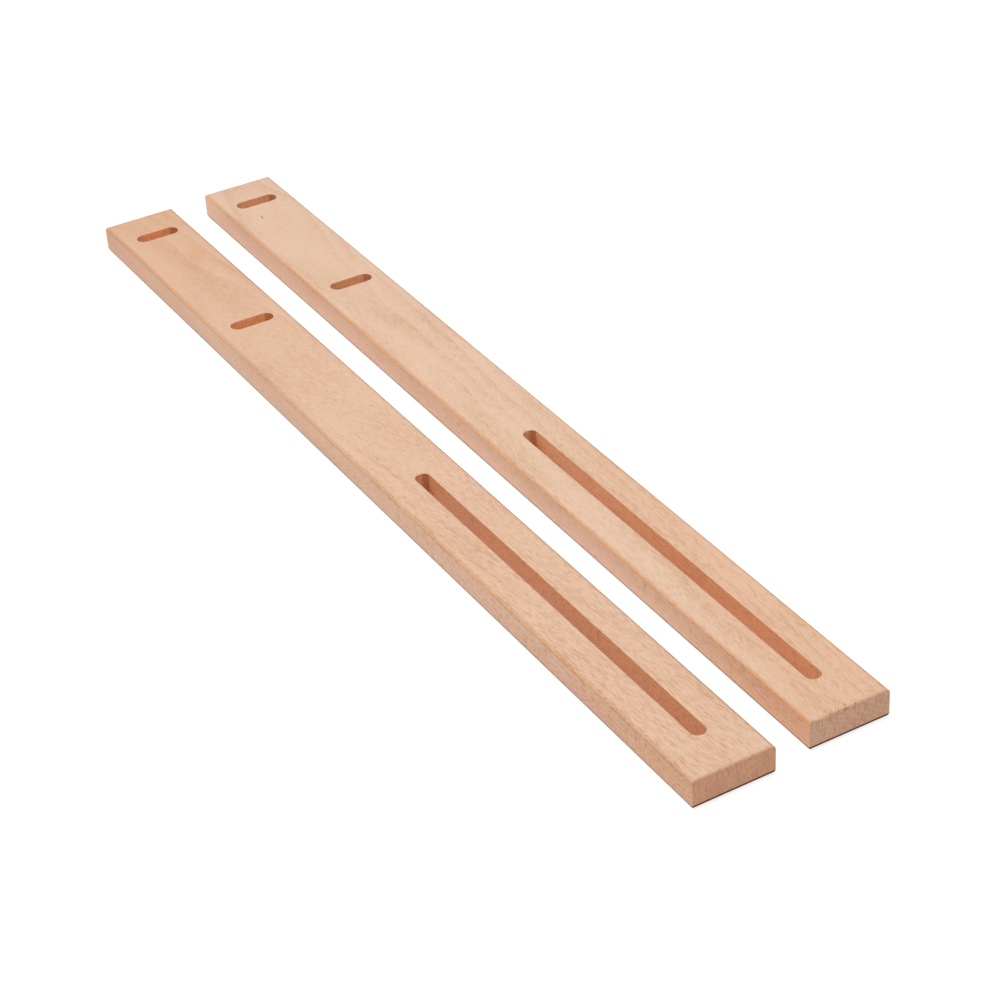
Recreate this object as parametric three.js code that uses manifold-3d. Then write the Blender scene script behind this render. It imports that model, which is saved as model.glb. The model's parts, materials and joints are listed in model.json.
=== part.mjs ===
// A pair of slotted side bars for a frame loom, lying flat and side by side.
//
// Each bar is one length of solid beech with its edges rounded over. Two short slots run across it in the
// half that carries the top beam, and one long slot runs along it for the beam that slides to set the tension.
// Millimetres. X runs across the pair, Y along the bars with the short slots at the far end (+Y), Z is up.
// The origin is on the surface the bars lie on, under the middle of the pair.

import Module from 'manifold-3d';
import * as THREE from 'three';
import { mergeVertices } from 'three/addons/utils/BufferGeometryUtils.js';

// Each bar.
const barLength = 780;
const barWidth = 55;
const barThickness = 20;
const edgeRadius = 3;

// Two short slots across each bar. A slot's place is that of its centre, from the bar's far end.
const crossSlotLength = 32;
const crossSlotWidth = 11;
const endSlotFromFarEnd = 35;
const leftMiddleSlotFromFarEnd = 195;
const rightMiddleSlotFromFarEnd = 190;

// One long slot along each bar. Its place is that of its near tip, from the bar's near end.
const longSlotLength = 315;
const longSlotWidth = 10;
const longSlotFromNearEnd = 30;

// How the pair lies: the gap between the bars halfway along, how far the right bar is pushed towards the far
// end, and its turn about its own middle, in degrees, anticlockwise seen from above.
const gapBetweenBars = 28;
const rightBarPush = 4.5;
const rightBarTurn = -0.3;

// Fineness of the rounded edges and slot ends, and how far a cutter stands out past each broad face.
const edgeSegments = 6;
const slotEndSegments = 10;
const cutterOvershoot = 5;

const wasm = await Module();
wasm.setup();

// A closed three.js geometry as a solid that can be cut.
function toSolid(geometry) {
  geometry.deleteAttribute('normal');
  geometry.deleteAttribute('uv');
  const merged = mergeVertices(geometry);
  const vertProperties = Float32Array.from(merged.attributes.position.array);
  const triVerts = Uint32Array.from(merged.index.array);
  return new wasm.Manifold(new wasm.Mesh({ numProp: 3, vertProperties, triVerts }));
}

// A cut solid as a three.js geometry again.
function toGeometry(solid) {
  const mesh = solid.getMesh();
  const geometry = new THREE.BufferGeometry();
  geometry.setAttribute('position', new THREE.BufferAttribute(mesh.vertProperties, mesh.numProp));
  geometry.setIndex(new THREE.BufferAttribute(mesh.triVerts, 1));
  geometry.computeVertexNormals();
  return geometry;
}

// The uncut bar, standing on z = 0 about its own middle. The outline is drawn inside the finished one by the
// edge radius, and the bevel brings it out to full size with a quarter round at both broad faces. The four
// upright corners stay square.
function barBlank() {
  const radius = Math.min(edgeRadius, barThickness / 2);
  const halfWidth = barWidth / 2 - radius;
  const halfLength = barLength / 2 - radius;
  const outline = new THREE.Shape();
  outline.moveTo(-halfWidth, -halfLength);
  outline.lineTo(halfWidth, -halfLength);
  outline.lineTo(halfWidth, halfLength);
  outline.lineTo(-halfWidth, halfLength);
  outline.closePath();
  const blank = new THREE.ExtrudeGeometry(outline, {
    depth: barThickness - 2 * radius,
    bevelEnabled: true,
    bevelThickness: radius,
    bevelSize: radius,
    bevelSegments: edgeSegments,
  });
  blank.translate(0, 0, radius);
  return blank;
}

// A cutter for a slot with half-round ends, running along X about its own middle and through both broad faces.
function slotCutter(length, width) {
  const radius = width / 2;
  const reach = length / 2 - radius;
  const outline = new THREE.Shape();
  outline.absarc(reach, 0, radius, -Math.PI / 2, Math.PI / 2, false);
  outline.absarc(-reach, 0, radius, Math.PI / 2, 3 * Math.PI / 2, false);
  outline.closePath();
  const cutter = new THREE.ExtrudeGeometry(outline, {
    depth: barThickness + 2 * cutterOvershoot,
    bevelEnabled: false,
    curveSegments: slotEndSegments,
  });
  cutter.translate(0, 0, -cutterOvershoot);
  return cutter;
}

// A short slot across the bar, at a distance from its far end.
function crossSlot(fromFarEnd) {
  const cutter = slotCutter(crossSlotLength, crossSlotWidth);
  cutter.translate(0, barLength / 2 - fromFarEnd, 0);
  return cutter;
}

// The long slot along the bar.
function longSlot() {
  const cutter = slotCutter(longSlotLength, longSlotWidth);
  cutter.rotateZ(Math.PI / 2);
  cutter.translate(0, longSlotFromNearEnd + longSlotLength / 2 - barLength / 2, 0);
  return cutter;
}

// One finished bar about its own middle, as a named mesh in its own wood.
function sideBar(name, middleSlotFromFarEnd, color) {
  const cutters = [crossSlot(endSlotFromFarEnd), crossSlot(middleSlotFromFarEnd), longSlot()];
  let solid = toSolid(barBlank());
  for (const cutter of cutters) {
    solid = solid.subtract(toSolid(cutter));
  }
  const material = new THREE.MeshStandardMaterial({ color, roughness: 0.62, metalness: 0 });
  const bar = new THREE.Mesh(toGeometry(solid), material);
  bar.name = name;
  return bar;
}

const leftBar = sideBar('left_side_bar', leftMiddleSlotFromFarEnd, 0xe3bb9a);
const rightBar = sideBar('right_side_bar', rightMiddleSlotFromFarEnd, 0xe6c3a5);
rightBar.position.set(barWidth + gapBetweenBars, rightBarPush, 0);
rightBar.rotation.z = THREE.MathUtils.degToRad(rightBarTurn);

// The pair is moved as one, so that the middle of its box is over the origin.
const pair = new THREE.Group();
pair.name = 'loom_side_bars';
pair.add(leftBar, rightBar);
const middle = new THREE.Box3().setFromObject(pair, true).getCenter(new THREE.Vector3());
pair.position.set(-middle.x, -middle.y, 0);

export default pair;
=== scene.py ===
# %% [markdown]
# # A pair of slotted loom side bars, in beech
#
# A frame loom stands on two side bars. Each one is a single length of beech, planed flat, rounded along
# every edge and pierced by three slots: two short ones across it, where the top beam is bolted, and one
# long one along it, where the lower beam slides to stretch the warp. Nothing is glued or screwed to them,
# so the whole object is two pieces of wood, and everything that makes it look real is in its edges and in
# its grain.
#
# The sizes and places come from the loaded frame. Blender works in metres here: X across the pair, Y
# along the bars towards the short slots, and Z up.

# %% Load the frame
import json
import math

import bmesh
import bpy
import numpy as np
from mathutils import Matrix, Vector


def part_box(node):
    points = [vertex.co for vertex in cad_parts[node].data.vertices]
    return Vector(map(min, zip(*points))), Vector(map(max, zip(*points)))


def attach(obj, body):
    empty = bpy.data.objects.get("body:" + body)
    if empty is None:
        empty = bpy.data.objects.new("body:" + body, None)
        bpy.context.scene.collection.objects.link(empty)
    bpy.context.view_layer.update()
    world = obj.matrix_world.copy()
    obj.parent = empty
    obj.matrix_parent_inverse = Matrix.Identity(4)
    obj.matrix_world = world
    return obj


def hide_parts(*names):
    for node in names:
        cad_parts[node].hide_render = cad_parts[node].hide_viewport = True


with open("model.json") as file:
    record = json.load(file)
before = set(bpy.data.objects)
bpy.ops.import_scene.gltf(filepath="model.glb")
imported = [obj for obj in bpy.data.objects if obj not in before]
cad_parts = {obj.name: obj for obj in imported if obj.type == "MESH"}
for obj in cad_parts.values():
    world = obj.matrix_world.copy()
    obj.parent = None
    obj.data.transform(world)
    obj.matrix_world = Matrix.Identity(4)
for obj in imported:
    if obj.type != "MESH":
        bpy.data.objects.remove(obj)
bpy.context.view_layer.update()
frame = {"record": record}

mm = 0.001

# %% [markdown]
# ## The camera
#
# The bars are seen from in front, a little to their left and from above, by a long lens that keeps their
# sides nearly parallel. A camera is easiest to think of as a place on a ball round its target: a compass
# direction, a height above the horizon, a distance, and a small roll. The three axes of the camera follow
# from those by cross products, so no constraint or empty is needed.

# %% Camera
camera_azimuth = math.radians(-28.99)
camera_elevation = math.radians(33.69)
camera_roll = math.radians(-3.37)
camera_distance = 1.6243
camera_target = np.array([-0.0009, -0.0757, 0.0])
camera_lens = 91.85


def camera_matrix(target, azimuth, elevation, distance, roll):
    """The camera's right, up and back axes and its place, as the columns of a 4 by 4 matrix.

    Back points from the target to the camera. Right is level, up is square to both, and then
    right and up turn together about back by the roll.
    """
    back = np.array([
        math.sin(azimuth) * math.cos(elevation),
        -math.cos(azimuth) * math.cos(elevation),
        math.sin(elevation),
    ])
    right = np.cross([0.0, 0.0, 1.0], back)
    right /= np.linalg.norm(right)
    up = np.cross(back, right)
    matrix = np.eye(4)
    matrix[:3, 0] = math.cos(roll) * right + math.sin(roll) * up
    matrix[:3, 1] = math.cos(roll) * up - math.sin(roll) * right
    matrix[:3, 2] = back
    matrix[:3, 3] = target + distance * back
    return matrix


camera_data = bpy.data.cameras.new("camera")
camera_data.lens = camera_lens
camera_data.sensor_width = 36.0
camera = bpy.data.objects.new("camera", camera_data)
bpy.context.scene.collection.objects.link(camera)
camera.matrix_world = camera_matrix(
    camera_target, camera_azimuth, camera_elevation, camera_distance, camera_roll
).T.tolist()
bpy.context.scene.camera = camera
print("camera at", [round(value, 3) for value in camera.matrix_world.translation])

# %% [markdown]
# ## Floor and light
#
# Pale wood looks its own colour only in light that has no colour, and its fine grain only shows where the
# light is soft but not quite even. So the bars lie on a pale table under a white sky, with one broad
# softbox above them that leans to their left. The sky lights the sides and the ends, and the softbox
# makes the top faces the brightest.
#
# The table is grey paper that glows a little by itself, like the lit tables made for this kind of
# picture. That washes out the shadows round the bars and turns the paper an even white. It reaches far
# enough for its edge to stay out of low views, and it lies a hair below the bars, so that two faces never
# share one plane.

# %% Floor and light
floor_reach = 12.0
floor_drop = 0.05 * mm
paper_grey = 0.35
paper_roughness = 0.9
paper_glow = 0.75
sky_strength = 0.5
softbox_size = 2.2
softbox_power = 39.0
softbox_distance = 1.8
softbox_lean = math.radians(20.0)


def flat_floor(reach, height):
    """A square of two by two quads, each corner at plus or minus the reach in X and Y."""
    across, along = np.meshgrid(np.linspace(-reach, reach, 3), np.linspace(-reach, reach, 3))
    points = np.stack([across, along, np.full_like(across, height)], axis=-1).reshape(-1, 3)
    start = np.array([0, 1, 3, 4])[:, None]
    quads = start + np.array([0, 1, 4, 3])
    mesh = bpy.data.meshes.new("floor")
    mesh.from_pydata(points.tolist(), [], quads.tolist())
    return mesh


floor = bpy.data.objects.new("floor", flat_floor(floor_reach, -floor_drop))
bpy.context.scene.collection.objects.link(floor)
paper = bpy.data.materials.new("white_paper")
paper.use_nodes = True
paper_shader = paper.node_tree.nodes["Principled BSDF"]
paper_shader.inputs["Base Color"].default_value = (paper_grey, paper_grey, paper_grey, 1.0)
paper_shader.inputs["Roughness"].default_value = paper_roughness
paper_shader.inputs["Emission Color"].default_value = (1.0, 1.0, 1.0, 1.0)
paper_shader.inputs["Emission Strength"].default_value = paper_glow
floor.data.materials.append(paper)

sky = bpy.data.worlds.new("white_sky")
sky.use_nodes = True
sky.node_tree.nodes["Background"].inputs["Color"].default_value = (1.0, 1.0, 1.0, 1.0)
sky.node_tree.nodes["Background"].inputs["Strength"].default_value = sky_strength
bpy.context.scene.world = sky
bpy.context.scene.view_settings.view_transform = "Standard"

softbox_data = bpy.data.lights.new("softbox", "AREA")
softbox_data.shape = "SQUARE"
softbox_data.size = softbox_size
softbox_data.energy = softbox_power
softbox = bpy.data.objects.new("softbox", softbox_data)
bpy.context.scene.collection.objects.link(softbox)
softbox.location = (
    -softbox_distance * math.sin(softbox_lean), 0.0, softbox_distance * math.cos(softbox_lean)
)
softbox.rotation_euler = (0.0, -softbox_lean, 0.0)
print("softbox", softbox_size, "m wide at", [round(value, 3) for value in softbox.location])

# %% [markdown]
# ## The sizes of a bar
#
# Length, width and thickness are read from the left bar's own box, which isn't turned. The right bar was
# laid down by hand, a third of a degree off parallel, so only the middle of its box is read. Each slot is
# centred on the opening that the record states for it. The shop's own numbers are the radius of the
# rounding cutter, the slot cutters' widths, and how much the sharp arrises were eased with a stroke of
# fine sandpaper.

# %% Sizes and places
low, high = (np.array(corner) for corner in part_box("left_side_bar"))
bar_width, bar_length, bar_thickness = high - low
left_centre = (low + high)[:2] / 2
right_centre = sum(np.array(corner)[:2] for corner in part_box("right_side_bar")) / 2
left_turn = 0.0
right_turn = math.radians(-0.3)

edge_radius = 3.0 * mm
cross_slot = (32.0 * mm, 11.0 * mm)
long_slot = (315.0 * mm, 10.0 * mm)
corner_ease = 0.4 * mm
mouth_ease = 0.3 * mm
crease_guard = 0.3 * mm


def turned(points, angle):
    """The points' X and Y turned anticlockwise about the origin; any Z is left alone."""
    result = np.array(points, float)
    x, y = result[..., 0].copy(), result[..., 1].copy()
    result[..., 0] = math.cos(angle) * x - math.sin(angle) * y
    result[..., 1] = math.sin(angle) * x + math.cos(angle) * y
    return result


def slot_places(side, centre, turn):
    """How far each of the side's slots is from the bar's middle, along the bar, from its stated opening."""
    places = {}
    for opening in frame["record"]["physics"]["openings"]:
        if opening["name"].startswith(side):
            middle = np.mean(opening["box_m"], axis=0)[:2]
            places[opening["name"].replace(side + "_", "")] = turned(middle - centre, -turn)[1]
    return places


left_slots = slot_places("left", left_centre, left_turn)
right_slots = slot_places("right", right_centre, right_turn)
print("bar in mm:", (np.array([bar_length, bar_width, bar_thickness]) / mm).round(3))
print("left slots in mm:", {name: round(place / mm, 2) for name, place in left_slots.items()})
print("right slots in mm:", {name: round(place / mm, 2) for name, place in right_slots.items()})

# %% [markdown]
# ## How a bar's surface is made
#
# The bar could be a cube with a Bevel and three Booleans, but Booleans leave long thin triangles, and
# long thin triangles catch the light. Here the surface is laid down as a joiner would describe it: a
# moulding profile run all the way round the edge, a wall run round each slot, and two flat faces between
# them. Each of those is one grid of points worked out from two parameters, and the grids share their edge
# points, so they weld into a single closed skin.
#
# The key step is *standing off*: take the points round a plain rectangle, find for each one the nearest
# place on a smaller core, and put it at a fixed distance from there. With a line for a core that makes a
# slot's half-round ends, and with a rectangle for a core it makes an eased corner.

# %% Stations, outlines and standing off
fine_step = 1.6 * mm
coarse_step = 6.0 * mm
slot_margin = 8.0 * mm


def stations(stops):
    """Positions from the first stop to the last; each stretch is cut evenly, no coarser than its step.

    A stop is (position, step of the stretch that follows it).
    """
    runs = []
    for (start, step), (end, _) in zip(stops, stops[1:]):
        count = max(1, math.ceil((end - start) / step - 1e-6))
        runs.append(np.linspace(start, end, count, endpoint=False))
    return np.append(np.concatenate(runs), stops[-1][0])


def outline(xs, ys):
    """Points round a rectangle, anticlockwise: along its near end, right side, far end and left side."""
    near = np.stack([xs[:-1], np.full(len(xs) - 1, ys[0])], axis=-1)
    right = np.stack([np.full(len(ys) - 1, xs[-1]), ys[:-1]], axis=-1)
    far = np.stack([xs[:0:-1], np.full(len(xs) - 1, ys[-1])], axis=-1)
    left = np.stack([np.full(len(ys) - 1, xs[0]), ys[:0:-1]], axis=-1)
    return np.concatenate([near, right, far, left])


def stood_off(points, core_low, core_high, distance):
    """Each point moved to a set distance from the nearest place on the core rectangle or line."""
    core = np.clip(points, core_low, core_high)
    away = points - core
    length = np.linalg.norm(away, axis=-1, keepdims=True)
    return core + distance * away / np.maximum(length, 1e-12)


def at_height(ring, z):
    """A flat ring of points lifted to height z."""
    return np.concatenate([ring, np.full((len(ring), 1), z)], axis=-1)


# %% [markdown]
# ## The moulded edge
#
# The edge is a quarter round at the bottom, a flat, and a quarter round at the top. Its profile is a list
# of (inset, height) pairs. On a quarter round of radius r, the inset is r(1 - sin a) and the height is
# r(1 - cos a). One more row sits close to each place where flat meets round. It keeps the shading of the
# flat from bleeding into the curve, which is what makes a low-quality model look inflated.

# %% The edge profile carried round the bar
round_steps = 8


def round_over(radius, steps):
    """(inset, height) down to up over a quarter round that stands on the ground."""
    angle = np.linspace(0.0, math.pi / 2, steps + 1)
    return np.stack([radius * (1 - np.sin(angle)), radius * (1 - np.cos(angle))], axis=-1)


def full_profile(radius, thickness, steps, guard):
    """The quarter round, a straight stretch with guard rows, and the same quarter round upside down."""
    lower = round_over(radius, steps)
    middle = np.linspace(radius + guard, thickness - radius - guard, 5)
    straight = np.stack([np.zeros_like(middle), middle], axis=-1)
    upper = lower[::-1] * [1, -1] + [0, thickness]
    return np.concatenate([lower, straight, upper])


def edge_stations(inner, half, inset, ease):
    """Stations along one side: the shared inner ones, then a guard and the eased corner at each end."""
    end = half - inset
    corner = end - ease + ease * np.tan(np.radians([0.0, 22.5, 45.0]))
    tail = np.concatenate([[end - ease - crease_guard], corner])
    return np.concatenate([-tail[::-1], inner, tail])


def moulded_edge(inner_x, inner_y):
    """The edge profile carried round the bar's rectangle; the corner easing fades out at the flat faces."""
    half = np.array([bar_width, bar_length]) / 2
    rows = []
    for inset, height in full_profile(edge_radius, bar_thickness, round_steps, crease_guard):
        ease = corner_ease * (1 - inset / edge_radius)
        xs = edge_stations(inner_x, half[0], inset, ease)
        ys = edge_stations(inner_y, half[1], inset, ease)
        core = half - inset - ease
        rows.append(at_height(stood_off(outline(xs, ys), -core, core, ease), height))
    return np.array(rows)


# %% [markdown]
# ## Slots
#
# A slot is cut with a router bit, so its ends are half round and its wall is straight from face to face.
# The wall's core is the line that the middle of the bit travelled. The mouth has only the faintest
# easing.

# %% Slot walls and the flat round each mouth
mouth_steps = 3
flat_rings = 6


def slot_core(length, width, place, lengthwise):
    """The two ends of the line that the router bit's middle travels."""
    reach = (length - width) / 2
    half = np.array([0.0, reach]) if lengthwise else np.array([reach, 0.0])
    middle = np.array([0.0, place])
    return middle - half, middle + half


def slot_wall(rim, core_low, core_high, width):
    """The wall from the lower face to the upper, with a small quarter round at both mouths."""
    profile = full_profile(mouth_ease, bar_thickness, mouth_steps, crease_guard)
    return np.array([
        at_height(stood_off(rim, core_low, core_high, width / 2 + inset), height)
        for inset, height in profile
    ])


def flat_round_slot(rim, core_low, core_high, width, height):
    """Rings on a flat face, from the slot's mouth to the block's rim: a guard ring, then an even blend."""
    mouth = stood_off(rim, core_low, core_high, width / 2 + mouth_ease)
    guard = stood_off(rim, core_low, core_high, width / 2 + mouth_ease + crease_guard)
    share = np.linspace(0.0, 1.0, flat_rings)[:, None, None]
    blend = guard * (1 - share) + rim * share
    return np.array([at_height(ring, height) for ring in [mouth, *blend]])


def flat_patch(xs, ys, height):
    """A plain grid of points at one height."""
    across, along = np.meshgrid(xs, ys)
    return np.stack([across, along, np.full_like(across, height)], axis=-1)


# %% [markdown]
# ## Welding the skin
#
# Each grid becomes quads by one rule: a point, its neighbour in the row, and the two below them. A ring
# also joins its last column to its first. Points that several grids share are merged, the slivers at the
# mitres close up, and the faces are turned to point outwards.

# %% From grids to one closed mesh
def quads_of(rows, columns, closed, start):
    """The quads of a grid of points numbered row by row; a closed grid wraps round in its columns."""
    row = np.arange(rows - 1)[:, None]
    column = np.arange(columns if closed else columns - 1)[None, :]
    beside = (column + 1) % columns
    corners = [row * columns + column, row * columns + beside,
               (row + 1) * columns + beside, (row + 1) * columns + column]
    return np.stack(corners, axis=-1).reshape(-1, 4) + start


def weld(name, grids):
    """One closed mesh from (grid, closed) pairs."""
    points, quads, start = [], [], 0
    for grid, closed in grids:
        rows, columns = grid.shape[:2]
        points.append(grid.reshape(-1, 3))
        quads.append(quads_of(rows, columns, closed, start))
        start += rows * columns
    mesh = bpy.data.meshes.new(name)
    mesh.from_pydata(np.concatenate(points).tolist(), [], np.concatenate(quads).tolist())
    skin = bmesh.new()
    skin.from_mesh(mesh)
    bmesh.ops.remove_doubles(skin, verts=skin.verts, dist=0.001 * mm)
    bmesh.ops.recalc_face_normals(skin, faces=skin.faces)
    open_edges = sum(not edge.is_manifold for edge in skin.edges)
    skin.to_mesh(mesh)
    skin.free()
    mesh.shade_smooth()
    print(name, "has", len(mesh.vertices), "points,", len(mesh.polygons), "faces and",
          open_edges, "open edges")
    return mesh


# %% [markdown]
# ## One bar
#
# Along the bar the flat faces are a row of blocks: a plain one, a block with a slot in it, a plain one,
# and so on. Every block uses the same stations across, and takes its share of the same stations along, so
# all the blocks meet point to point.

# %% A bar from its slots
guard_x = bar_width / 2 - edge_radius - crease_guard
flat_x = bar_width / 2 - edge_radius
flat_y = bar_length / 2 - edge_radius
rim_gap = 1.5 * mm
inner_x = np.linspace(-1.0, 1.0, 25) * (flat_x - rim_gap)
block_x = np.concatenate([[-guard_x], inner_x, [guard_x]])


def slot_blocks(places):
    """(start, end, core, width) of the block round each slot, from the near end to the far end."""
    blocks = []
    for name, place in sorted(places.items(), key=lambda item: item[1]):
        lengthwise = name.startswith("long")
        length, width = long_slot if lengthwise else cross_slot
        core = slot_core(length, width, place, lengthwise)
        half = (length if lengthwise else width) / 2 + slot_margin
        blocks.append((place - half, place + half, core, width))
    return blocks


def along_stations(blocks):
    """Stations along the whole flat: fine beside each slot's ends, coarse elsewhere."""
    stops = [(-flat_y + rim_gap, coarse_step)]
    for start, end, core, width in blocks:
        tip = width / 2 + slot_margin
        stops.append((start, fine_step))
        if end - start > 4 * tip:
            stops += [(start + 1.5 * tip, coarse_step), (end - 1.5 * tip, fine_step)]
        stops.append((end, coarse_step))
    stops.append((flat_y - rim_gap, coarse_step))
    return stations(stops)


def between(values, start, end):
    """The values from start to end, with both ends kept whatever the rounding."""
    return values[(values > start - 0.01 * mm) & (values < end + 0.01 * mm)]


def slot_attributes(points, blocks):
    """Two values at each point: 1 on the slots' walls, and how far round a half-round end it is.

    The second is 0 on the straight walls. Past the end of the bit's travel it is the distance
    past that end, divided by the bit's radius, so it rises to 1 at the tip.
    """
    flat = points[:, :2]
    wall, cap = np.zeros(len(points)), np.zeros(len(points))
    for _, _, core, width in blocks:
        on_wall = np.linalg.norm(flat - np.clip(flat, *core), axis=1) < width / 2 + mouth_ease / 2
        travel = core[1] - core[0]
        past_end = np.abs((flat - np.mean(core, axis=0)) @ travel) / np.linalg.norm(travel)
        past_end -= np.linalg.norm(travel) / 2
        wall[on_wall] = 1.0
        cap[on_wall] = np.clip(past_end[on_wall] / (width / 2), 0.0, 1.0)
    return wall, cap


def bar_mesh(name, places, centre, turn):
    """The whole skin of one bar, in place."""
    blocks = slot_blocks(places)
    inner_y = along_stations(blocks)
    guard_y = flat_y - crease_guard
    all_y = np.concatenate([[-flat_y, -guard_y], inner_y, [guard_y, flat_y]])
    grids = [(moulded_edge(inner_x, inner_y), True)]
    cuts = [-flat_y] + [cut for block in blocks for cut in block[:2]] + [flat_y]
    for height in (0.0, bar_thickness):
        for side in (-1, 1):
            grids.append((flat_patch(np.array([guard_x, flat_x]) * side, all_y, height), False))
        for start, end in zip(cuts[::2], cuts[1::2]):
            grids.append((flat_patch(block_x, between(all_y, start, end), height), False))
    for start, end, core, width in blocks:
        rim = outline(block_x, between(all_y, start, end))
        grids.append((slot_wall(rim, *core, width), True))
        grids += [(flat_round_slot(rim, *core, width, height), True) for height in (0.0, bar_thickness)]

    mesh = weld(name, grids)
    points = np.empty(len(mesh.vertices) * 3)
    mesh.vertices.foreach_get("co", points)
    points = points.reshape(-1, 3)
    wall, cap = slot_attributes(points, blocks)
    mesh.attributes.new("slot_wall", "FLOAT", "POINT").data.foreach_set("value", wall)
    mesh.attributes.new("slot_cap", "FLOAT", "POINT").data.foreach_set("value", cap)
    mesh.vertices.foreach_set("co", (turned(points, turn) + np.append(centre, 0.0)).ravel())
    mesh.update()
    return mesh


# %% [markdown]
# ## Two bars on their bodies
#
# Each bar rides on the body of its own CAD solid, which it replaces in the picture. When that body moves,
# the wood moves with it in one piece, slots, edges, marks and all. The skin was built in its place on the
# table, so no object needs a move or a scale of its own.

# %% The left bar and the right bar
def make_bar(name, body, node, places, centre, turn):
    """One bar as an object that rides on its body and stands for its CAD node."""
    bar = bpy.data.objects.new(name, bar_mesh(name, places, centre, turn))
    bpy.context.scene.collection.objects.link(bar)
    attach(bar, body)
    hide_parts(node)
    return bar


left_bar = make_bar(
    "left_bar_wood", "left_bar", "left_side_bar", left_slots, left_centre, left_turn
)
right_bar = make_bar(
    "right_bar_wood", "right_bar", "right_side_bar", right_slots, right_centre, right_turn
)

# %% [markdown]
# ## What beech looks like, and why
#
# Beech is a pale pinkish brown wood whose mark is its rays: thin upright sheets that run from the pith
# out to the bark. They are a third of a millimetre thick, a few millimetres long with the grain, and much
# deeper than that. Where a face cuts them edge on, as the top faces do, they are short dark dashes. On
# the sides they show broadside, as small curled flecks, and on the ends they are fine upright lines.
#
# So the wood here is worked out as a solid, from each point's place inside the bar. One pattern then
# gives the dashes, the flecks and the lines, and they meet at every edge as they do in a sawn board.
# Image textures or a flat pattern laid on each face could never agree at the edges and inside the slots.
#
# The helpers below only make the node trees shorter to write.

# %% Helpers for node trees
def node(tree, kind, sockets, **options):
    """Adds one node and sets its options; an input gets a link if it is given a socket, or else a value."""
    made = tree.nodes.new(kind)
    for option, value in options.items():
        setattr(made, option, value)
    for place, value in sockets.items():
        if isinstance(value, bpy.types.NodeSocket):
            tree.links.new(value, made.inputs[place])
        else:
            made.inputs[place].default_value = value
    return made


def maths(tree, operation, *values):
    """One sum on numbers."""
    return node(tree, "ShaderNodeMath", dict(enumerate(values)), operation=operation).outputs[0]


def vectors(tree, operation, *values):
    """One sum on vectors."""
    made = node(tree, "ShaderNodeVectorMath", dict(enumerate(values)), operation=operation)
    return made.outputs["Value" if operation in ("LENGTH", "DOT_PRODUCT") else "Vector"]


def eased(tree, value, low, high, start=0.0, end=1.0):
    """Goes smoothly from start to end as the value goes from low to high, and stays there outside."""
    sockets = {"Value": value, "From Min": low, "From Max": high, "To Min": start, "To Max": end}
    made = node(tree, "ShaderNodeMapRange", sockets, interpolation_type="SMOOTHSTEP")
    return made.outputs["Result"]


def cells(tree, grain, size):
    """Places in the wood counted in cells of the given size, in millimetres across, along and deep."""
    return vectors(tree, "MULTIPLY", grain, [1 / length for length in size])


def noise(tree, places, detail):
    """Soft random values near a half; a new value about once a cell, and finer ones with more detail."""
    sockets = {"Vector": places, "Scale": 1.0, "Detail": detail, "Roughness": 0.5}
    return node(tree, "ShaderNodeTexNoise", sockets).outputs


def mixed(tree, amount, first, second, blend_type="MIX"):
    """Two colours mixed, or multiplied, by an amount from 0 to 1."""
    sockets = {0: amount, 6: first, 7: second}
    made = node(tree, "ShaderNodeMix", sockets, data_type="RGBA", blend_type=blend_type)
    return made.outputs[2]


# %% [markdown]
# ## Grain, rings, rays and fibres
#
# Each bar was sawn with its grain a few degrees off its length, which is why the dashes cross it at a
# slant. The *grain space* is the bar's own space turned by that slant and measured in millimetres: X
# across, Y along the grain and Z deep. A slow noise bends it a little, as a tree does.
#
# - The rings are cylinders round the pith, a line somewhere below the board. A ring darkens slowly
#   towards its late wood and ends at once.
# - The rays are the cores of stretched random cells.
# - The fibres are noise drawn out along the grain.

# %% The wood as a solid
# The grain's bends in millimetres: how far apart they are, and how far they push it across and deep.
bend_size = (45.0, 160.0, 45.0)
bend_reach = (7.0, 0.0, 9.0)


def grain_space(tree, centre, angle):
    """The point's place in the bar in millimetres, with Y along the grain, and gently bent."""
    place = node(tree, "ShaderNodeTexCoord", {}).outputs["Object"]
    sockets = {"Vector": place, "Location": (*centre, 0.0), "Rotation": (0.0, 0.0, angle),
               "Scale": (mm, mm, mm)}
    straight = node(tree, "ShaderNodeMapping", sockets, vector_type="TEXTURE").outputs["Vector"]
    bend = noise(tree, cells(tree, straight, bend_size), 1.0)["Color"]
    bend = vectors(tree, "MULTIPLY", vectors(tree, "SUBTRACT", bend, (0.5, 0.5, 0.5)), bend_reach)
    return straight, vectors(tree, "ADD", straight, bend)


def growth_rings(tree, grain, pith, spacing):
    """0 in early wood, rising to 1 in late wood, then back to 0 at the ring's edge."""
    across, _, deep = node(tree, "ShaderNodeSeparateXYZ", {0: grain}).outputs
    offset = node(tree, "ShaderNodeCombineXYZ", {"X": maths(tree, "SUBTRACT", across, pith[0]),
                                                 "Z": maths(tree, "SUBTRACT", deep, pith[1])})
    radius = vectors(tree, "LENGTH", offset.outputs[0])
    part = maths(tree, "FRACT", maths(tree, "DIVIDE", radius, spacing))
    return maths(tree, "MULTIPLY", eased(tree, part, 0.15, 0.9), eased(tree, part, 1.0, 0.9))


def rays(tree, grain, size, fullest, faintest):
    """1 in the core of each stretched cell and 0 between the cores; each ray has its own strength."""
    sockets = {"Vector": cells(tree, grain, size), "Scale": 1.0}
    voronoi = node(tree, "ShaderNodeTexVoronoi", sockets)
    core = eased(tree, voronoi.outputs["Distance"], faintest, fullest)
    chance = node(tree, "ShaderNodeSeparateColor", {0: voronoi.outputs["Color"]}).outputs[0]
    return maths(tree, "MULTIPLY", core, eased(tree, chance, 0.0, 0.9, 0.25, 1.0))


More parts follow.
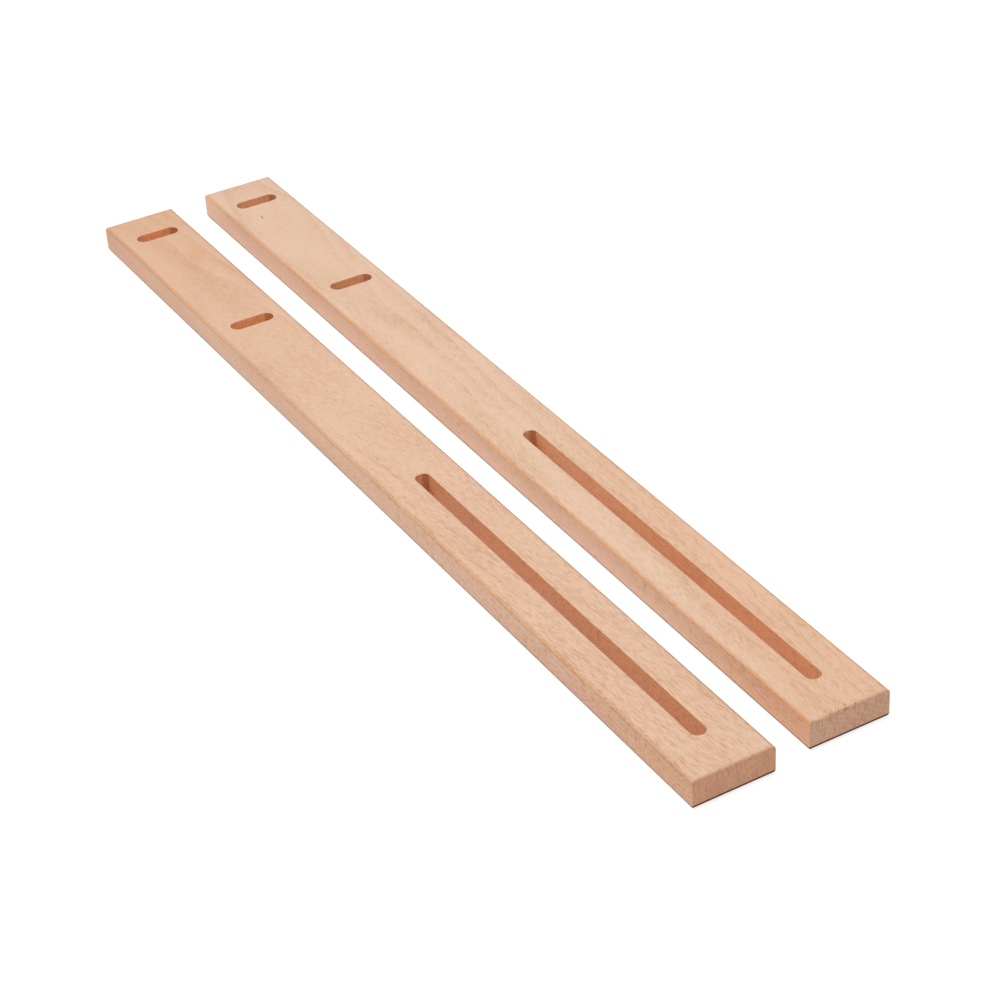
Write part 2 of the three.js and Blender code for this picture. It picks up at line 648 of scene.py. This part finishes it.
def facing(tree):
    """How squarely the surface faces across the bar and along it, each from 0 to 1."""
    normal = node(tree, "ShaderNodeTexCoord", {}).outputs["Normal"]
    parts = node(tree, "ShaderNodeSeparateXYZ", {0: vectors(tree, "ABSOLUTE", normal)}).outputs
    return parts[0], parts[1]


# %% [markdown]
# ## Marks of one board
#
# No two boards are alike. The left bar has a small knot just under its face, between the two short slots:
# the fibres swerve round it and the wood there is more golden. The right bar has one dark pin knot, a
# streak about a centimetre long. Along the top edge of its near end the saw tore out a few brown flecks.
#
# All three are *marks*: soft ellipses, full strength near the middle and gone at the rim. They could be
# small pieces laid on the wood, but real marks have no thickness, so they are stains inside it.

# %% A mark, and grain that swerves round one
def mark(tree, centre, place, size, lean):
    """1 at a place from the bar's centre, easing to 0 at an ellipse's rim; in millimetres and degrees."""
    where = (centre[0] + place[0] * mm, centre[1] + place[1] * mm, place[2] * mm)
    sockets = {
        "Vector": node(tree, "ShaderNodeTexCoord", {}).outputs["Object"], "Location": where,
        "Rotation": (0.0, 0.0, math.radians(lean)), "Scale": tuple(length * mm for length in size),
    }
    inside = node(tree, "ShaderNodeMapping", sockets, vector_type="TEXTURE").outputs["Vector"]
    return eased(tree, vectors(tree, "LENGTH", inside), 1.0, 0.1)


def swerved(tree, grain, amount, push):
    """The grain pushed aside by a vector, in millimetres, as much as the amount says."""
    shift = node(tree, "ShaderNodeCombineXYZ", {
        axis: maths(tree, "MULTIPLY", amount, length) for axis, length in zip("XYZ", push)
    })
    return vectors(tree, "ADD", grain, shift.outputs[0])


# %% [markdown]
# ## The brown in the wood
#
# Pale wood and brown wood are mixed by one number. The rays add most to it, as long dashes and short
# ticks. The fibres make it uneven at the scale of a hair, the late wood adds soft lines and a slow cloud
# drifts over it all. Rays and fibres fade towards the far end, because there the saw followed the grain
# more closely, and *liveliness* says how strong they are at the near end. On the sides the rays are broad
# and faint. On the ends a third set of them, very long with the grain, makes fine upright lines.

# %% How brown the wood is at each point
# Cell sizes are in millimetres across the grain, along it and deep, and places are from the bar's middle.
dash_size = (0.8, 10.0, 14.0)
tick_size = (0.5, 6.0, 9.0)
end_line_size = (0.75, 60.0, 8.0)
fibre_size = (0.4, 7.0, 0.4)
cloud_size = (22.0, 80.0, 22.0)
end_line_strength = 1.7
fibre_strength = 3.4
cloud_strength = 0.9
top_ring_strength = 0.26
side_ring_strength = 0.32
side_ray_share = 0.5
far_end_share = 0.35
calm_from = 320.0
lively_from = -260.0


def brownness(tree, straight, grain, across, along, pith, ring_spacing, liveliness):
    """How much brown there is, from 0 to 1, and how much of it is ray."""
    dashes = rays(tree, grain, dash_size, 0.08, 0.28)
    ticks = rays(tree, grain, tick_size, 0.10, 0.36)
    ends = rays(tree, grain, end_line_size, 0.12, 0.45)
    fibres = noise(tree, cells(tree, grain, fibre_size), 1.0)["Fac"]
    clouds = noise(tree, cells(tree, grain, cloud_size), 2.0)["Fac"]
    rings = growth_rings(tree, grain, pith, ring_spacing)
    length = node(tree, "ShaderNodeSeparateXYZ", {0: straight}).outputs[1]

    broadside = eased(tree, across, 0.5, 0.9, 1.0, side_ray_share)
    ray = maths(tree, "MULTIPLY", maths(tree, "ADD", dashes, ticks), broadside)
    fine = maths(tree, "MULTIPLY_ADD", maths(tree, "SUBTRACT", fibres, 0.5), fibre_strength, ray)
    strength = eased(tree, length, calm_from, lively_from, far_end_share, liveliness)
    fine = maths(tree, "MULTIPLY", fine, strength)
    fine = maths(tree, "MULTIPLY_ADD", ends, eased(tree, along, 0.6, 0.9, 0.0, end_line_strength), fine)
    ring_strength = eased(tree, across, 0.7, 0.98, top_ring_strength, side_ring_strength)
    soft = maths(tree, "MULTIPLY_ADD", maths(tree, "SUBTRACT", clouds, 0.45), cloud_strength,
                 maths(tree, "MULTIPLY", rings, ring_strength))
    return eased(tree, maths(tree, "ADD", fine, soft), -0.15, 1.15), ray


# %% [markdown]
# ## Faces, edges and slots
#
# The same wood takes a different colour on each kind of face, so each kind has its own tint, multiplied
# in where the surface faces that way:
#
# - end grain drinks the light and looks darker;
# - the sides, where the rays lie broadside, are a little pinker, and warmer towards the near end;
# - the rounded long edges are tinted darker and more golden;
# - the rounded lower edges are painted dark brown, a painted shade where the bar meets the floor,
#   and at the ends the painted shade is darker still and the edges are rough as well;
# - the slots are left as the hot router bit left them, orange brown with small dark pores. Their
#   right-hand half-round ends are darkened with painted shade, and the straight walls of the short
#   slots are lightened with painted light.
#
# Slots could be told from their depth, but then the bar's own sides would count as slots too. Instead,
# the mesh carries two values at each point: whether it is on a slot's wall, and how far round its end.

# %% Tints by face
# Painted shade on the rounded lower edges, darkest where they face the floor.
lower_edge_painted_shade = (0.19, 0.12, 0.09, 1.0)
# More painted shade on the rounded lower edges of the ends.
lower_end_painted_shade = (0.55, 0.36, 0.26, 1.0)
near_side_tint = (0.96, 0.86, 0.74, 1.0)
near_side_reach = (-230.0, -385.0)
pore_tint = (0.72, 0.56, 0.52, 1.0)
# Painted shade for the slots' right-hand half-round ends.
slot_cap_painted_shade = (0.62, 0.44, 0.37, 1.0)
# Painted light for the straight walls of the short slots.
slot_wall_painted_light = (1.10, 1.02, 0.93, 1.0)


def tinted(tree, colour, where, tint):
    """The colour, multiplied by the tint as much as where says."""
    return mixed(tree, where, colour, tint, "MULTIPLY")


def face_tints(tree, colour, straight, across, along, tones):
    """Rounded long edges, sides and ends, each in its own tint, and painted shade on the rounded lower
    edges.
    """
    normal = node(tree, "ShaderNodeTexCoord", {}).outputs["Normal"]
    height = node(tree, "ShaderNodeSeparateXYZ", {0: normal}).outputs[2]
    slot = node(tree, "ShaderNodeAttribute", {}, attribute_name="slot_wall").outputs["Fac"]
    outside = maths(tree, "SUBTRACT", 1.0, slot)
    edge = maths(tree, "MULTIPLY", maths(tree, "MULTIPLY", across, maths(tree, "ABSOLUTE", height)), 2.0)
    colour = tinted(tree, colour, eased(tree, edge, 0.0, 0.9), tones["edge"])
    side = eased(tree, across, 0.7, 0.98)
    colour = tinted(tree, colour, side, tones["side"])
    length = node(tree, "ShaderNodeSeparateXYZ", {0: straight}).outputs[1]
    near_side = maths(tree, "MULTIPLY", maths(tree, "MULTIPLY", side, outside),
                      eased(tree, length, *near_side_reach))
    colour = tinted(tree, colour, near_side, near_side_tint)
    end = maths(tree, "MULTIPLY", eased(tree, along, 0.45, 0.95), outside)
    colour = tinted(tree, colour, end, tones["end"])
    # Painted shade: the rounded lower edges, facing down, are darkened where the bar meets the floor.
    lower = maths(tree, "MULTIPLY", eased(tree, height, -0.02, -0.2), eased(tree, height, -0.98, -0.85))
    return tinted(tree, colour, lower, lower_edge_painted_shade)


def shaded_lower_end_edge(tree, along):
    """1 on the rounded lower edge of each end, where shade is painted and the surface made rough, and 0
    everywhere else.
    """
    normal = node(tree, "ShaderNodeTexCoord", {}).outputs["Normal"]
    height = node(tree, "ShaderNodeSeparateXYZ", {0: normal}).outputs[2]
    slot = node(tree, "ShaderNodeAttribute", {}, attribute_name="slot_wall").outputs["Fac"]
    rounding = maths(tree, "MULTIPLY", eased(tree, height, 0.0, -0.06), eased(tree, along, 0.2, 0.5))
    return maths(tree, "MULTIPLY", rounding, maths(tree, "SUBTRACT", 1.0, slot))


def slot_tints(tree, colour, grain, along, tones):
    """The slots' walls: painted light on the short slots' straight walls, painted shade in the right-hand
    ends.
    """
    normal = node(tree, "ShaderNodeTexCoord", {}).outputs["Normal"]
    sideways = node(tree, "ShaderNodeSeparateXYZ", {0: normal}).outputs[0]
    slot = node(tree, "ShaderNodeAttribute", {}, attribute_name="slot_wall").outputs["Fac"]
    cap = node(tree, "ShaderNodeAttribute", {}, attribute_name="slot_cap").outputs["Fac"]
    colour = tinted(tree, colour, slot, tones["slot"])
    pores = maths(tree, "MULTIPLY", rays(tree, grain, (1.5, 2.4, 1.5), 0.10, 0.32), slot)
    colour = tinted(tree, colour, pores, pore_tint)
    # Painted light on the short slots' straight walls, which face along the bar.
    painted_light_walls = maths(tree, "MULTIPLY", eased(tree, along, 0.5, 0.9), eased(tree, cap, 0.3, 0.0))
    painted_light_walls = maths(tree, "MULTIPLY", painted_light_walls, slot)
    colour = tinted(tree, colour, painted_light_walls, slot_wall_painted_light)
    # Painted shade in the slots' half-round ends that face left, the right-hand ends.
    turn = maths(tree, "MULTIPLY", eased(tree, sideways, 0.0, -0.6), eased(tree, cap, 0.05, 0.5))
    return tinted(tree, colour, turn, slot_cap_painted_shade)


# %% [markdown]
# ## The whole finish
#
# The bars are sanded and left bare or barely oiled, so they are matt, with the brown wood a touch rougher.
# A bump a few hundredths of a millimetre deep sets the rays and the brown wood a little lower, so each
# dash has a faint shade of its own. Modelled grooves that fine would need millions of faces.

# %% Beech
relief_depth = 0.06 * mm
relief_strength = 0.5
pale_roughness = 0.5
brown_roughness = 0.64
sheen = 0.35


def beech(name, centre, angle, pith, ring_spacing, liveliness, tones, knot=None, pin=None, torn=None):
    """One bar's beech. A mark is (place, half sizes, lean, tint), and a knot has a push before its tint."""
    material = bpy.data.materials.new(name)
    material.use_nodes = True
    tree = material.node_tree
    shader = tree.nodes["Principled BSDF"]
    straight, grain = grain_space(tree, centre, angle)
    across, along = facing(tree)

    if knot:
        swell = mark(tree, centre, *knot[:3])
        grain = swerved(tree, grain, swell, knot[3])
    brown, ray = brownness(tree, straight, grain, across, along, pith, ring_spacing, liveliness)
    colour = mixed(tree, brown, tones["pale"], tones["brown"])
    warmth = vectors(tree, "DOT_PRODUCT", straight, tones["warm_way"])
    colour = tinted(tree, colour, eased(tree, warmth, *tones["warm_reach"]), tones["warm"])
    if knot:
        colour = tinted(tree, colour, swell, knot[4])
    if pin:
        colour = tinted(tree, colour, mark(tree, centre, *pin[:3]), pin[3])
    if torn:
        tears = maths(tree, "MULTIPLY", mark(tree, centre, *torn[:3]),
                      rays(tree, grain, (1.8, 3.0, 1.8), 0.22, 0.50))
        colour = tinted(tree, colour, tears, torn[3])
    colour = face_tints(tree, colour, straight, across, along, tones)
    colour = slot_tints(tree, colour, grain, along, tones)
    # Painted shade: the rounded lower edge of each end is darkened further, and made fully rough too.
    end_edge = shaded_lower_end_edge(tree, along)
    colour = tinted(tree, colour, end_edge, lower_end_painted_shade)
    tree.links.new(colour, shader.inputs["Base Color"])

    relief = maths(tree, "MULTIPLY", maths(tree, "ADD", ray, brown), -0.5)
    sockets = {"Strength": relief_strength, "Distance": relief_depth, "Height": relief}
    bump = node(tree, "ShaderNodeBump", sockets)
    tree.links.new(bump.outputs["Normal"], shader.inputs["Normal"])
    roughness = eased(tree, brown, 0.0, 1.0, pale_roughness, brown_roughness)
    tree.links.new(maths(tree, "MAXIMUM", roughness, end_edge), shader.inputs["Roughness"])
    shader.inputs["Specular IOR Level"].default_value = sheen
    return material


left_beech = beech(
    "left_beech", left_centre, left_turn + math.radians(6.5), (12.0, -110.0), 3.4, 1.15,
    {
        "pale": (0.65, 0.432, 0.300, 1.0), "brown": (0.49, 0.274, 0.163, 1.0),
        "warm": (0.97, 0.90, 0.84, 1.0), "warm_way": (0.0, 1.0, 0.0), "warm_reach": (120.0, 400.0),
        "end": (0.86, 0.66, 0.54, 1.0), "side": (0.88, 0.80, 0.76, 1.0), "edge": (0.85, 0.77, 0.67, 1.0),
        "slot": (1.23, 0.97, 0.73, 1.0),
    },
    knot=((9.0, 309.0, 20.0), (12.0, 25.0, 30.0), -25.0, (-6.0, 0.0, 1.5), (0.99, 0.94, 0.84, 1.0)),
)
right_beech = beech(
    "right_beech", right_centre, right_turn - math.radians(3.0), (-18.0, -95.0), 3.0, 0.72,
    {
        "pale": (0.665, 0.458, 0.330, 1.0), "brown": (0.50, 0.284, 0.172, 1.0),
        "warm": (0.99, 0.93, 0.87, 1.0), "warm_way": (1.0, -0.1, 0.0), "warm_reach": (15.0, 44.0),
        "end": (0.86, 0.78, 0.75, 1.0), "side": (1.03, 0.92, 0.86, 1.0), "edge": (0.90, 0.79, 0.65, 1.0),
        "slot": (1.11, 0.92, 0.70, 1.0),
    },
    torn=((-9.0, -388.6, 18.8), (26.0, 5.0, 5.0), 0.0, (0.52, 0.34, 0.18, 1.0)),
    pin=((-6.3, 329.0, 20.0), (0.7, 5.5, 3.0), -7.6, (0.30, 0.17, 0.10, 1.0)),
)
left_bar.data.materials.append(left_beech)
right_bar.data.materials.append(right_beech)
for material in (left_beech, right_beech):
    print(material.name, "has", len(material.node_tree.nodes), "nodes")
